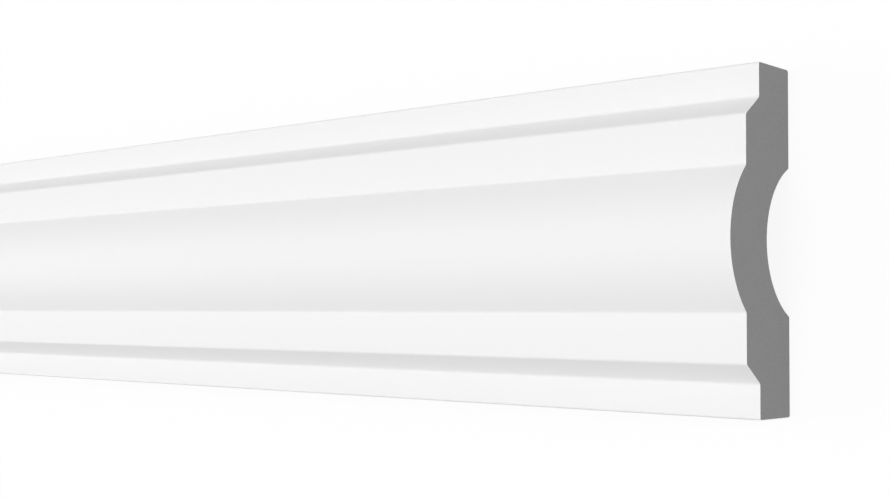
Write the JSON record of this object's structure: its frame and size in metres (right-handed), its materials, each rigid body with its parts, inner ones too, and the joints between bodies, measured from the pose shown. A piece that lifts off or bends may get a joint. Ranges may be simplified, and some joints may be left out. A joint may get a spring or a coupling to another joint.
{
  "type": "panel moulding",
  "caption": "Straight length of symmetrical wall moulding with plain borders, slanted steps, raised flats, a round middle bow and a hollowed back that is glued to a wall or panel.",
  "frame": {"origin": "middle of the back: mid-length, mid-width, on the plane of the two glue flats", "axes": "+X along the length, +Y across the face, +Z out of the wall; the moulding lies on its back"},
  "size_m": [2, 0.08, 0.0269],
  "materials": {
    "white_primer": "matt white factory primer on a grey core that shows where the stock is cut"
  },
  "bodies": {
    "root": {"panel_moulding": "white_primer"}
  },
  "joints": []
}
